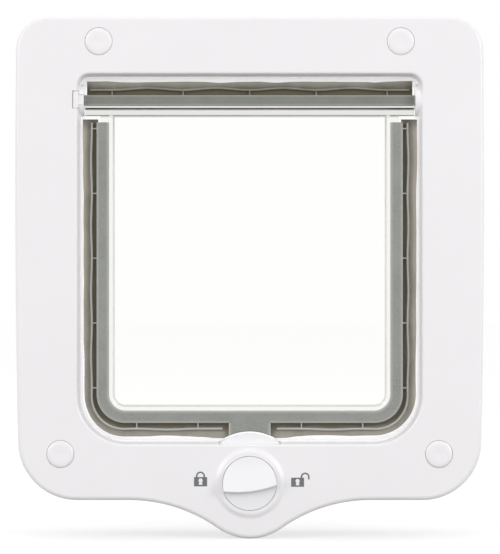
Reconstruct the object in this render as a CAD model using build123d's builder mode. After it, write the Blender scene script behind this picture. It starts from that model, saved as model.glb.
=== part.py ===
from build123d import *
import os
from math import atan, cos, degrees, pi, radians, sin

os.makedirs("parts", exist_ok=True)

# Two-way cat flap with a rotary lock, for a door.
# x runs to the right, y from the room to the outside, z up. The origin is the
# centre of the tunnel, on the door's inner face. Depths are named by how far
# they lie ahead of that face, towards the room.

# Front plate: how far it stands out round the tunnel, and how its sides bow
plate_side = 29.55
plate_above = 27.6
plate_below = 26.6
plate_widest_z = 31.9
plate_top_inset = 0.6
plate_foot_inset = 1.95
plate_skin = 2.5
plate_skirt = 2.4
plate_edge_round = 2.0
top_corner = 15.3
foot_corner = 26.5
stiffener = 1.6
stiffener_height = 6.0
stiffener_pitch = 42.0

# Tunnel, with the stepped rim round its mouth
tunnel_width = 152.4
tunnel_height = 164.0
tunnel_top_corner = 4.0
tunnel_foot_corner = 20.5
tunnel_wall = 2.2
spigot_length = 26.0
ledge = 0.3
rim_bevel = 1.3
rim_bevel_depth = 4.0
rim_round = 1.2

# Rear frame, on the other side of the door
door_thickness = 30.0
rear_depth = 8.0
rear_skin = 2.5
sleeve_gap = 0.4
sleeve_wall = 2.0
sleeve_length = 26.0
sleeve_round = 1.2

# Screws through the door, placed from the plate's edges, and their caps
screw_top_side = 37.75
screw_top_drop = 11.6
screw_foot_side = 20.55
screw_foot_rise = 20.8
screw_radius = 2.0
screw_clearance = 0.25
screw_bite = 4.5
screw_pilot_clearance = 0.03
head_radius = 3.8
head_height = 2.4
head_gap = 0.4
head_sunk = 5.8
pillar_wall = 1.7
cap_radius = 6.1
cap_gap = 0.15
cap_thickness = 2.1
cap_crown = 0.3
cap_skirt_length = 2.4
cap_skirt_wall = 0.9
rear_pillar_radius = 5.0

# Hinge
hinge_drop = 10.2
pin_radius = 2.2
pin_length = 5.0
pin_clearance = 0.08
hinge_boss_radius = 7.2
hinge_boss_height = 1.5
hinge_end_gap = 0.4
keeper_inset = 0.8
keeper_thickness = 2.8
keeper_height = 7.8
keeper_length = 10.2
keeper_sunk = 0.6
keeper_gap = 0.1
keeper_round = 0.45
keeper_nose_step = 0.5
socket_wall = 1.6
socket_height = 13.0

# Flap
flap_thickness = 5.0
pane_thickness = 2.0
pane_gap = 0.1
border_width = 2.4
border_thickness = 3.2
border_slope = 0.7
edge_width = 5.5
edge_wall = 1.6
edge_corner = 13.0
edge_drop = 10.0
edge_round = 0.45
bar_drop = 7.2
bar_thickness = 5.6
bar_waist = 3.4
bar_bead = 1.0
bar_step = 0.9
bar_foot_slope = 0.6
bar_round = 0.25
tongue_thickness = 4.4
rail_drop = 2.5
rail_rise = 2.2
rail_wall = 1.0
rail_round = 0.35
fit_gap = 0.05

# Soft lips
lip_reach = 6.4
lip_side_gap = 0.6
lip_foot_gap = 1.5
lip_top_gap = 1.7
lip_end_drop = 8.6
lip_end_inset = 0.6
film_thickness = 0.8
film_root = 0.7
fin_reach = 2.0
fin_wave = 0.8
fin_thickness = 0.6
fin_setback = 1.6
fin_inset = 0.3
fin_end_gap = 3.0
tie_thickness = 0.7
tie_first = 4.2
tie_pitch = 29.3
top_tie_pitch = 31.0
top_fin_reach = 2.9

# Lock
knob_drop = 18.9
knob_radius = 12.1
knob_gap = 0.2
knob_turn = 180.0
bulge_radius = 25.0
bulge_blend = 69.3
mound_radius = 16.3
mound_top_radius = 13.6
mound_height = 1.1
knob_rim_height = 0.3
ridge_height = 3.8
ridge_radius = 56.0
ridge_offset = 4.1
ridge_tilt = 6.8
ridge_flank = 0.75
ridge_climb = 0.3
ridge_round = 0.35
crease_height = 0.5
spindle_radius = 4.0
spindle_flat = 3.0
bolt_travel = 4.8
bolt_head_radius = 22.1
bolt_head_rise = 0.3
bolt_half_width = 13.6
bolt_foot_drop = 8.1
bolt_gap = 0.6
slide_gap = 0.3
shield_thickness = 1.6
shield_round = 0.2
prong_drop = 1.2
prong_thickness = 1.5
prong_half_width = 12.0
web_thickness = 1.6
follower_radius = 1.3
follower_start = 6.3
follower_gap = 0.2
cam_gap = 0.4
cam_thickness = 3.2
cam_groove_depth = 2.1
cam_wall = 1.2
guide_wall = 1.8
guide_height = 2.0
cover_inset = 0.4
cover_thickness = 1.2
cover_margin = 1.0
cover_boss_radius = 3.0
cover_boss_gap = 0.4
cover_foot_x = 12.0
cover_foot_drop = 5.8
cover_screw_radius = 1.1
cover_screw_length = 6.0
cover_head_radius = 2.1
washer_radius = 5.4
washer_thickness = 0.7
knob_screw_radius = 1.5
knob_screw_length = 8.0
knob_screw_head = 3.0
knob_screw_head_height = 1.8

# Tongue and magnets
tab_half_width = 9.3
magnet_length = 12.0
magnet_depth = 2.0
magnet_height = 1.7
frame_magnet_width = 3.6
frame_magnet_height = 1.6

# Stack of depths ahead of the door's face, from the lock's cover to the front
cover_front = cover_inset + cover_thickness
prong_back = cover_front + slide_gap
prong_front = prong_back + prong_thickness
flap_back = prong_front + bolt_gap
flap_ahead = flap_back + flap_thickness / 2
flap_front = flap_back + flap_thickness
shield_back = flap_front + bolt_gap
shield_front = shield_back + shield_thickness
skin_back = shield_front + slide_gap
plate_depth = skin_back + plate_skin
cam_front = shield_back - cam_gap
cam_back = cam_front - cam_thickness
seat_ahead = plate_depth - cap_thickness - head_sunk

# Sizes across the opening that follow from the tunnel
roof_z = tunnel_height / 2
floor_z = -tunnel_height / 2
mouth_foot = floor_z - ledge - rim_bevel
plate_width = tunnel_width + 2 * plate_side
plate_top = roof_z + plate_above
plate_foot = floor_z - plate_below
hinge_z = roof_z - hinge_drop
knob_z = floor_z - knob_drop
bolt_head_z = knob_z + bolt_head_rise
bolt_foot_z = knob_z - bolt_foot_drop
boss_face = tunnel_width / 2 - hinge_boss_height
bar_half = boss_face - hinge_end_gap
edge_half = tunnel_width / 2 - lip_side_gap - lip_reach
edge_foot = floor_z + lip_foot_gap + lip_reach
rail_foot = hinge_z - rail_drop
rail_top = hinge_z + rail_rise
lip_top = roof_z - lip_top_gap
edge_top = hinge_z - edge_drop
lip_top_end = hinge_z - lip_end_drop
keeper_near = tunnel_width / 2 + keeper_inset
keeper_far = keeper_near + keeper_thickness
pillar_radius = cap_radius + cap_gap + pillar_wall
web_foot = knob_z + follower_start + follower_radius + follower_gap + cam_wall + 2 * cam_gap
screw_top_x = plate_width / 2 - screw_top_side
screw_top_z = plate_top - screw_top_drop
screw_foot_x = plate_width / 2 - screw_foot_side
screw_foot_z = plate_foot + screw_foot_rise
screw_places = [
    (-screw_top_x, screw_top_z),
    (screw_top_x, screw_top_z),
    (-screw_foot_x, screw_foot_z),
    (screw_foot_x, screw_foot_z),
]
cover_top_x = bolt_half_width + slide_gap + guide_wall + cover_boss_gap + cover_boss_radius
cover_foot_z = bolt_foot_z - cover_foot_drop
cover_screw_places = [
    (-cover_top_x, web_foot),
    (cover_top_x, web_foot),
    (-cover_foot_x, cover_foot_z),
    (cover_foot_x, cover_foot_z),
]


def front(ahead):
    """Plane parallel to the door, facing the room, so far ahead of the door's inner face."""
    return Plane.XZ.offset(ahead)


def turned(x, z):
    """Half-section plane of a piece turned about y: local x is the radius, local y the depth ahead."""
    return Plane(origin=(x, 0, z), x_dir=(0, 0, 1), z_dir=(1, 0, 0))


def turning_axis(x, z):
    return Axis((x, 0, z), (0, 1, 0))


def arch(half_width, top, foot, top_radius, foot_radius):
    """Upright rectangle with one radius on its upper and another on its lower corners."""
    with BuildSketch() as outline:
        with Locations((0, (top + foot) / 2)):
            Rectangle(2 * half_width, top - foot)
        if top_radius > 0:
            fillet(outline.vertices().group_by(Axis.Y)[-1], top_radius)
        fillet(outline.vertices().group_by(Axis.Y)[0], foot_radius)
    return outline.sketch


def tunnel(margin):
    """The tunnel's outline, moved outwards by a margin."""
    half_height = tunnel_height / 2 + margin
    return arch(
        tunnel_width / 2 + margin,
        half_height,
        -half_height,
        tunnel_top_corner + margin,
        tunnel_foot_corner + margin,
    )


def flap_edge(inset, top):
    """The outline of the flap's edge frame, moved inwards, and cut straight at the given height."""
    return arch(edge_half - inset, top, edge_foot + inset, 0, edge_corner - inset)


def cover_screw_section(gap):
    """Half-section of a countersunk cover screw, flush with the cover's back, grown by a gap."""
    tip = cover_inset + cover_screw_length - cover_thickness + gap
    return [
        (0, cover_inset),
        (cover_head_radius + gap, cover_inset),
        (cover_screw_radius + gap, cover_inset + cover_head_radius - cover_screw_radius),
        (cover_screw_radius + gap, tip),
        (0, tip),
    ]


def save(builder, name):
    builder.part.label = name
    export_step(builder.part, f"parts/{name}.step")


# Outlines of the two frames: bowed sides, and on the front one a bulge below the knob
plate_top_half = plate_width / 2 - plate_top_inset
plate_foot_half = plate_width / 2 - plate_foot_inset
with BuildSketch() as plain_outline:
    with BuildLine():
        Line((-plate_top_half, plate_top), (plate_top_half, plate_top))
        ThreePointArc(
            (plate_top_half, plate_top),
            (plate_width / 2, plate_widest_z),
            (plate_foot_half, plate_foot),
        )
        Line((plate_foot_half, plate_foot), (-plate_foot_half, plate_foot))
        ThreePointArc(
            (-plate_foot_half, plate_foot),
            (-plate_width / 2, plate_widest_z),
            (-plate_top_half, plate_top),
        )
    make_face()
    fillet(plain_outline.vertices().group_by(Axis.Y)[-1], top_corner)
    fillet(plain_outline.vertices().group_by(Axis.Y)[0], foot_corner)

with BuildSketch() as lock_outline:
    add(plain_outline.sketch)
    with Locations((0, knob_z)):
        Circle(bulge_radius)
    meeting = lock_outline.vertices().filter_by_position(Axis.X, -bulge_radius, bulge_radius)
    fillet(meeting, bulge_blend)

# The bolt's head, and the room that it needs in the flap when it is down
with BuildSketch() as bolt_head:
    with Locations((0, bolt_head_z)):
        Circle(bolt_head_radius)
with BuildSketch() as bolt_room:
    with Locations((0, bolt_head_z)):
        Circle(bolt_head_radius + bolt_gap)

# Front frame
with BuildPart() as front_frame:
    with BuildSketch(front(0)):
        add(lock_outline.sketch)
    extrude(amount=plate_depth)
    fillet(front_frame.faces().sort_by(Axis.Y)[0].edges(), plate_edge_round)
    with BuildSketch(front(0)):
        add(lock_outline.sketch)
        offset(amount=-plate_skirt, mode=Mode.REPLACE)
    extrude(amount=skin_back, mode=Mode.SUBTRACT)

    # Stiffening ribs behind the skin, from the tunnel to the skirt
    with BuildSketch(front(skin_back)):
        with GridLocations(0, stiffener_pitch, 1, 3):
            Rectangle(plate_width - 2 * plate_skirt, stiffener)
        with GridLocations(stiffener_pitch, 0, 2, 1):
            with Locations((0, (plate_top + roof_z) / 2)):
                Rectangle(stiffener, plate_top - roof_z - plate_skirt)
    extrude(amount=-stiffener_height)

    # Tunnel wall, screw pillars and hinge sockets
    with BuildSketch(front(skin_back)):
        add(tunnel(tunnel_wall))
    extrude(amount=-(skin_back + spigot_length))
    with BuildSketch(front(skin_back)):
        with Locations(*screw_places):
            Circle(pillar_radius)
        with Locations((0, hinge_z)):
            Rectangle(2 * (keeper_far + socket_wall), socket_height)
    extrude(amount=-skin_back)
    with BuildSketch(front(0)):
        add(tunnel(0))
    extrude(amount=plate_depth, mode=Mode.SUBTRACT)
    with BuildSketch(front(0)):
        add(tunnel(0))
    extrude(amount=-spigot_length, mode=Mode.SUBTRACT)

    # Stepped, bevelled rim of the mouth
    with BuildSketch(front(plate_depth - rim_bevel_depth)):
        add(tunnel(ledge))
    extrude(
        amount=rim_bevel_depth,
        taper=-degrees(atan(rim_bevel / rim_bevel_depth)),
        mode=Mode.SUBTRACT,
    )
    fillet(front_frame.faces().sort_by(Axis.Y)[0].inner_wires()[0].edges(), rim_round)

    # Mound round the knob
    with BuildSketch(turned(0, knob_z)):
        with BuildLine():
            Polyline(
                (0, plate_depth + mound_height),
                (0, skin_back),
                (mound_radius, skin_back),
                (mound_radius, plate_depth),
            )
            Spline(
                (mound_radius, plate_depth),
                (mound_top_radius, plate_depth + mound_height),
                tangents=((-1, 0), (-1, 0)),
            )
            Line((mound_top_radius, plate_depth + mound_height), (0, plate_depth + mound_height))
        make_face()
    revolve(axis=turning_axis(0, knob_z))
    with BuildSketch(front(skin_back)):
        with Locations((0, knob_z)):
            Circle(knob_radius + knob_gap)
    extrude(amount=plate_depth, mode=Mode.SUBTRACT)

    # Hinge bosses on the tunnel's walls, bored for the pins
    for side in (-1, 1):
        with BuildSketch(Plane.YZ.offset(side * boss_face)):
            with Locations((-flap_ahead, hinge_z)):
                Circle(hinge_boss_radius)
        extrude(amount=side * (hinge_boss_height + tunnel_wall))
        with BuildSketch(Plane.YZ.offset(side * boss_face)):
            with Locations((-flap_ahead, hinge_z)):
                Circle(pin_radius + pin_clearance)
        extrude(amount=side * (keeper_far - boss_face), mode=Mode.SUBTRACT)

    # On the left, the slot that the pin slides in by and the keeper's pocket
    with BuildSketch(Plane.YZ.offset(-boss_face)):
        with Locations((-flap_ahead - plate_depth / 2, hinge_z)):
            Rectangle(plate_depth, 2 * (pin_radius + pin_clearance))
    extrude(amount=-(keeper_near - boss_face + keeper_gap), mode=Mode.SUBTRACT)
    with BuildSketch(front(plate_depth)):
        with Locations((-(keeper_near + keeper_far) / 2, hinge_z)):
            Rectangle(keeper_thickness + 2 * keeper_gap, keeper_height + 2 * keeper_gap)
    extrude(amount=-(keeper_sunk + keeper_length + keeper_gap), mode=Mode.SUBTRACT)

    # Slots in the tunnel's floor for the bolt's shield and prong, and the magnet's pocket between them
    shield_slot = 2 * (bolt_half_width + slide_gap)
    with BuildSketch(front(shield_back - slide_gap)):
        with Locations((0, floor_z)):
            Rectangle(shield_slot, tunnel_wall, align=(Align.CENTER, Align.MAX))
    extrude(amount=shield_thickness + 2 * slide_gap, mode=Mode.SUBTRACT)
    with BuildSketch(front(skin_back)):
        with Locations((0, floor_z)):
            Rectangle(shield_slot, floor_z - mouth_foot, align=(Align.CENTER, Align.MAX))
    extrude(amount=plate_skin, mode=Mode.SUBTRACT)
    with BuildSketch(front(prong_back - slide_gap)):
        with Locations((0, floor_z - tunnel_wall / 2)):
            Rectangle(2 * (prong_half_width + slide_gap), 2 * tunnel_wall)
    extrude(amount=prong_thickness + 2 * slide_gap, mode=Mode.SUBTRACT)
    with BuildSketch(Plane.XY.offset(floor_z - tunnel_wall)):
        with Locations((0, -flap_ahead)):
            Rectangle(magnet_length + 2 * fit_gap, frame_magnet_width + 2 * fit_gap)
    extrude(amount=frame_magnet_height, mode=Mode.SUBTRACT)

    # Guides beside the bolt and bosses for the lock's cover
    with BuildSketch(front(skin_back)):
        for side in (-1, 1):
            with Locations((side * (bolt_half_width + slide_gap + guide_wall / 2), bolt_foot_z)):
                Rectangle(
                    guide_wall,
                    floor_z - tunnel_wall - bolt_foot_z,
                    align=(Align.CENTER, Align.MIN),
                )
    extrude(amount=-guide_height)
    with BuildSketch(front(cover_front)):
        with Locations(*cover_screw_places):
            Circle(cover_boss_radius)
    extrude(amount=skin_back - cover_front)
    with BuildSketch(front(cover_front)):
        with Locations(*cover_screw_places):
            Circle(cover_screw_radius + screw_pilot_clearance)
    extrude(amount=cover_screw_length, mode=Mode.SUBTRACT)

    # Screw holes: recess for the cap, counterbore for the head, clearance for the shank
    with BuildSketch(front(plate_depth - cap_thickness)):
        with Locations(*screw_places):
            Circle(cap_radius + cap_gap)
    extrude(amount=plate_depth, mode=Mode.SUBTRACT)
    with BuildSketch(front(seat_ahead)):
        with Locations(*screw_places):
            Circle(head_radius + head_gap)
    extrude(amount=plate_depth, mode=Mode.SUBTRACT)
    with BuildSketch(front(0)):
        with Locations(*screw_places):
            Circle(screw_radius + screw_clearance)
    extrude(amount=plate_depth, mode=Mode.SUBTRACT)

save(front_frame, "front_frame")

# Rear frame: plain flange, sleeve over the tunnel's spigot, pillars for the screws
rear_skin_front = -(door_thickness + rear_depth - rear_skin)
with BuildPart() as rear_frame:
    with BuildSketch(front(-door_thickness)):
        add(plain_outline.sketch)
    extrude(amount=-rear_depth)
    fillet(rear_frame.faces().sort_by(Axis.Y)[-1].edges(), plate_edge_round)
    with BuildSketch(front(-door_thickness)):
        add(plain_outline.sketch)
        offset(amount=-plate_skirt, mode=Mode.REPLACE)
    extrude(amount=-(rear_depth - rear_skin), mode=Mode.SUBTRACT)
    with BuildSketch(front(rear_skin_front)):
        add(tunnel(tunnel_wall + sleeve_gap + sleeve_wall))
    extrude(amount=sleeve_length)
    with BuildSketch(front(rear_skin_front)):
        with Locations(*screw_places):
            Circle(rear_pillar_radius)
    extrude(amount=rear_depth - rear_skin)
    with BuildSketch(front(-door_thickness - rear_depth)):
        add(tunnel(tunnel_wall + sleeve_gap))
    extrude(amount=rear_depth + sleeve_length, mode=Mode.SUBTRACT)
    fillet(rear_frame.faces().sort_by(Axis.Y)[-1].inner_wires()[0].edges(), sleeve_round)
    with BuildSketch(front(-door_thickness)):
        with Locations(*screw_places):
            Circle(screw_radius + screw_pilot_clearance)
    extrude(amount=-(screw_bite + head_gap), mode=Mode.SUBTRACT)

save(rear_frame, "rear_frame")

# Four long screws through the door
with BuildPart() as frame_screws:
    for x, z in screw_places:
        with BuildSketch(turned(x, z)):
            with BuildLine():
                Polyline(
                    (0, seat_ahead + head_height),
                    (0, -door_thickness - screw_bite),
                    (screw_radius / 2, -door_thickness - screw_bite),
                    (screw_radius, -door_thickness - screw_bite + screw_radius / 2),
                    (screw_radius, seat_ahead),
                    (head_radius, seat_ahead),
                    (head_radius, seat_ahead + head_height / 2),
                    (head_radius - head_height / 2, seat_ahead + head_height),
                    close=True,
                )
            make_face()
        revolve(axis=turning_axis(x, z))

save(frame_screws, "frame_screws")

# Push-in caps over the screws: slightly crowned disc with a short skirt
cap_names = ["cap_top_left", "cap_top_right", "cap_bottom_left", "cap_bottom_right"]
cap_back = plate_depth - cap_thickness + fit_gap
cap_skirt_radius = head_radius + head_gap - fit_gap
for name, (x, z) in zip(cap_names, screw_places):
    with BuildPart() as cap:
        with BuildSketch(turned(x, z)):
            with BuildLine():
                Polyline(
                    (0, plate_depth + cap_crown),
                    (0, cap_back),
                    (cap_skirt_radius - cap_skirt_wall, cap_back),
                    (cap_skirt_radius - cap_skirt_wall, cap_back - cap_skirt_length),
                    (cap_skirt_radius, cap_back - cap_skirt_length),
                    (cap_skirt_radius, cap_back),
                    (cap_radius, cap_back),
                    (cap_radius, plate_depth - cap_crown / 2),
                )
                Spline(
                    (cap_radius, plate_depth - cap_crown / 2),
                    (0, plate_depth + cap_crown),
                    tangents=((-1, 1), (-1, 0)),
                )
            make_face()
        revolve(axis=turning_axis(x, z))
    save(cap, name)

# Keeper: fork pushed in from the front over the left pin, with a nose that fills the pin's slot
nose_front = plate_depth - keeper_sunk - keeper_nose_step
nose_back = flap_ahead + pin_radius + 2 * pin_clearance
with BuildPart() as hinge_keeper:
    with BuildSketch(Plane.YZ.offset(-keeper_far)):
        with Locations((-plate_depth + keeper_sunk, hinge_z)):
            Rectangle(keeper_length, keeper_height, align=(Align.MIN, Align.CENTER))
        with Locations((-flap_ahead, hinge_z)):
            Circle(pin_radius + pin_clearance, mode=Mode.SUBTRACT)
            Rectangle(
                keeper_length,
                2 * (pin_radius + pin_clearance),
                align=(Align.MIN, Align.CENTER),
                mode=Mode.SUBTRACT,
            )
    extrude(amount=keeper_thickness)
    fillet(hinge_keeper.faces().sort_by(Axis.Y)[0].edges(), keeper_round)
    with BuildSketch(Plane.YZ.offset(-keeper_near)):
        with Locations((-nose_front, hinge_z)):
            Rectangle(
                nose_front - nose_back,
                2 * (pin_radius + pin_clearance - keeper_gap),
                align=(Align.MIN, Align.CENTER),
            )
    extrude(amount=keeper_near - boss_face - keeper_gap)

save(hinge_keeper, "hinge_keeper")

# Magnet under the tunnel's floor
with BuildPart() as frame_magnet:
    with BuildSketch(Plane.XY.offset(floor_z - tunnel_wall)):
        with Locations((0, -flap_ahead)):
            Rectangle(magnet_length, frame_magnet_width)
    extrude(amount=frame_magnet_height - fit_gap)

save(frame_magnet, "frame_magnet")

# Clear pane: raised border round the window, hinge bar with a bead and a waist, its tongue, stub pins
bar_foot = hinge_z - bar_drop
pane_top = bar_foot + bar_waist / 2
bar_halves = [
    (pane_thickness / 2, bar_foot),
    (bar_waist / 2, bar_foot + bar_foot_slope),
    (bar_waist / 2, rail_foot - bar_bead - bar_step),
    (bar_thickness / 2, rail_foot - bar_bead),
    (bar_thickness / 2, rail_foot),
]
with BuildPart() as flap_pane:
    with BuildSketch(front(flap_ahead - pane_thickness / 2)):
        add(flap_edge(edge_wall + pane_gap, pane_top))
    extrude(amount=pane_thickness)
    with BuildSketch(front(flap_ahead - border_thickness / 2)):
        add(flap_edge(edge_width + pane_gap, pane_top))
    extrude(amount=border_thickness)
    border_rise = (border_thickness - pane_thickness) / 2
    for side in (-1, 1):
        with BuildSketch(front(flap_ahead + side * pane_thickness / 2)):
            add(flap_edge(edge_width + pane_gap + border_width, pane_top + border_width))
        extrude(
            amount=side * border_rise,
            taper=-degrees(atan(border_slope / border_rise)),
            mode=Mode.SUBTRACT,
        )
    with BuildSketch(Plane.YZ.offset(-bar_half)) as bar_section:
        Polygon(
            *[(-flap_ahead - half, z) for half, z in bar_halves],
            *[(-flap_ahead + half, z) for half, z in reversed(bar_halves)],
            align=None,
        )
        fillet(bar_section.vertices().group_by(Axis.Y)[1:-1], bar_round)
        with Locations((-flap_ahead, rail_foot)):
            Rectangle(
                tongue_thickness,
                rail_top - rail_wall - fit_gap - rail_foot,
                align=(Align.CENTER, Align.MIN),
            )
    extrude(amount=2 * bar_half)
    for side in (-1, 1):
        with BuildSketch(Plane.YZ.offset(side * bar_half)):
            with Locations((-flap_ahead, hinge_z)):
                Circle(pin_radius)
        extrude(amount=side * pin_length)

save(flap_pane, "flap_pane")

# Edging: channel on three sides of the pane, grooved outside for the lips, with the latch
# tongue below it, which is hollowed to clear the bolt's round head and holds a magnet
open_top = edge_top + edge_width
tab_magnet_z = edge_foot - (edge_foot - bolt_head_z - bolt_head_radius - bolt_gap) / 2
with BuildPart() as edging:
    with BuildSketch(front(flap_back)):
        add(flap_edge(0, edge_top))
        add(flap_edge(edge_width, open_top), mode=Mode.SUBTRACT)
        with Locations((0, edge_foot + edge_width)):
            Rectangle(
                2 * tab_half_width,
                edge_foot + edge_width - floor_z,
                align=(Align.CENTER, Align.MAX),
            )
        add(bolt_room.sketch, mode=Mode.SUBTRACT)
    extrude(amount=flap_thickness)
    for face in (edging.faces().sort_by(Axis.Y)[0], edging.faces().sort_by(Axis.Y)[-1]):
        fillet(face.edges(), edge_round)
    with BuildSketch(front(flap_ahead - pane_thickness / 2 - fit_gap)):
        add(flap_edge(edge_wall, open_top))
    extrude(amount=pane_thickness + 2 * fit_gap, mode=Mode.SUBTRACT)
    with BuildSketch(front(flap_ahead - film_thickness / 2 - fit_gap)):
        add(flap_edge(-film_root, open_top))
        add(flap_edge(film_root + fit_gap, open_top), mode=Mode.SUBTRACT)
        with Locations((0, edge_foot)):
            Rectangle(2 * tab_half_width, 4 * edge_width, mode=Mode.SUBTRACT)
    extrude(amount=film_thickness + 2 * fit_gap, mode=Mode.SUBTRACT)
    with BuildSketch(front(flap_back)):
        with Locations((0, tab_magnet_z)):
            Rectangle(magnet_length + 2 * fit_gap, magnet_height + 2 * fit_gap)
    extrude(amount=magnet_depth + fit_gap, mode=Mode.SUBTRACT)

# The tongue is a moulding of its own, welded flush under the frame
tab_joint = Plane.XY.offset(edge_foot)
with BuildPart() as flap_frame:
    add(edging.part)
    split(bisect_by=tab_joint, keep=Keep.TOP)

save(flap_frame, "flap_frame")

with BuildPart() as latch_tab:
    add(edging.part)
    split(bisect_by=tab_joint, keep=Keep.BOTTOM)

save(latch_tab, "latch_tab")

with BuildPart() as flap_magnet:
    with BuildSketch(front(flap_back)):
        with Locations((0, tab_magnet_z)):
            Rectangle(magnet_length, magnet_height)
    extrude(amount=magnet_depth)

save(flap_magnet, "flap_magnet")

# Rail: channel over the hinge bar's tongue, grooved on top for the upper lip
rail_thickness = tongue_thickness + 2 * (fit_gap + rail_wall)
with BuildPart() as top_rail:
    with BuildSketch(Plane.YZ.offset(-bar_half)) as rail_section:
        with Locations((-flap_ahead, rail_foot + fit_gap)):
            Rectangle(rail_thickness, rail_top - rail_foot - fit_gap, align=(Align.CENTER, Align.MIN))
            fillet(rail_section.vertices(), rail_round)
            Rectangle(
                tongue_thickness + 2 * fit_gap,
                rail_top - rail_wall - rail_foot - fit_gap,
                align=(Align.CENTER, Align.MIN),
                mode=Mode.SUBTRACT,
            )
        with Locations((-flap_ahead, rail_top)):
            Rectangle(
                film_thickness + 2 * fit_gap,
                2 * (film_root + fit_gap),
                mode=Mode.SUBTRACT,
            )
    extrude(amount=2 * bar_half)

save(top_rail, "top_rail")

# Soft lips: a thin film, and a wavy fin that small ties draw in towards the edge frame
side_run = lip_top_end - (edge_foot + edge_corner)
corner_run = (edge_corner + fin_reach / 2) * pi / 2
foot_run = edge_half - edge_corner - tab_half_width - fin_end_gap
fin_half_depth = flap_thickness / 2 - fin_inset
steps_per_wave = 6


def lip_point(side, run, reach):
    """Point beside the edge frame: run along it from the lip's upper end, reach out from it."""
    corner_x = edge_half - edge_corner
    corner_z = edge_foot + edge_corner
    if run < side_run:
        x, z = edge_half + reach, lip_top_end - run
    elif run < side_run + corner_run:
        angle = (run - side_run) / corner_run * pi / 2
        x = corner_x + (edge_corner + reach) * cos(angle)
        z = corner_z - (edge_corner + reach) * sin(angle)
    else:
        x, z = corner_x - (run - side_run - corner_run), edge_foot - reach
    return (side * x, z)


def top_point(run, reach):
    return (run, rail_top + reach)


def fin_line(place, first, last, pitch, phase, reach):
    """Points of a wavy line that is drawn in at each tie."""
    count = round((last - first) / pitch * steps_per_wave)
    runs = [first + (last - first) * i / count for i in range(count + 1)]
    return [place(run, reach + fin_wave * (1 - cos(2 * pi * (run - phase) / pitch)) / 2) for run in runs]


def fin_section(place, first, last, pitch, phase, reach):
    """The fin's section: two wavy lines, closed at their ends."""
    near = fin_line(place, first, last, pitch, phase, reach)
    far = fin_line(place, first, last, pitch, phase, reach + fin_thickness)
    with BuildSketch() as section:
        with BuildLine():
            Spline(*near)
            Line(near[-1], far[-1])
            Spline(*far)
            Line(near[0], far[0])
        make_face()
    return section.sketch


def tie_section(place, run, reach):
    """One tie's section, from the frame's side to the fin."""
    half = tie_thickness / 2
    corners = [
        place(run - half, fit_gap),
        place(run + half, fit_gap),
        place(run + half, reach + fin_thickness / 2),
        place(run - half, reach + fin_thickness / 2),
    ]
    with BuildSketch() as section:
        Polygon(*corners, align=None)
    return section.sketch


fin_end = side_run + corner_run + foot_run
tie_runs = [tie_first + i * tie_pitch for i in range(int((fin_end - tie_first) / tie_pitch) + 1)]
for name, side in (("lip_left", -1), ("lip_right", 1)):

    def beside(run, reach):
        return lip_point(side, run, reach)

    with BuildPart() as lip:
        with BuildSketch(front(flap_ahead - film_thickness / 2)):
            add(flap_edge(-lip_reach, lip_top_end))
            add(flap_edge(film_root, lip_top_end + film_root), mode=Mode.SUBTRACT)
            add(bolt_room.sketch, mode=Mode.SUBTRACT)
            with Locations((side * (tab_half_width + 2 * fit_gap), 0)):
                Rectangle(
                    tunnel_width,
                    2 * tunnel_height,
                    align=(Align.MIN if side > 0 else Align.MAX, Align.CENTER),
                    mode=Mode.INTERSECT,
                )
        extrude(amount=film_thickness)
        with BuildSketch(front(flap_ahead - fin_half_depth)):
            add(fin_section(beside, fin_setback, fin_end, tie_pitch, tie_first, fin_reach))
        extrude(amount=2 * fin_half_depth)
        with BuildSketch(front(flap_ahead - fin_half_depth + fin_inset)):
            for run in tie_runs:
                add(tie_section(beside, run, fin_reach))
        extrude(amount=2 * (fin_half_depth - fin_inset))
    save(lip, name)

lip_half = bar_half - lip_end_inset
fin_half = lip_half - fin_setback
top_ties = int((fin_half - tie_thickness) / top_tie_pitch)
with BuildPart() as upper_lip:
    with BuildSketch(front(flap_ahead - film_thickness / 2)):
        with Locations((0, rail_top - film_root)):
            Rectangle(2 * lip_half, lip_top - rail_top + film_root, align=(Align.CENTER, Align.MIN))
    extrude(amount=film_thickness)
    with BuildSketch(front(flap_ahead - fin_half_depth)):
        add(fin_section(top_point, -fin_half, fin_half, top_tie_pitch, 0, top_fin_reach))
    extrude(amount=2 * fin_half_depth)
    with BuildSketch(front(flap_ahead - fin_half_depth + fin_inset)):
        for place in range(-top_ties, top_ties + 1):
            add(tie_section(top_point, place * top_tie_pitch, top_fin_reach))
    extrude(amount=2 * (fin_half_depth - fin_inset))

save(upper_lip, "top_lip")

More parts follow.
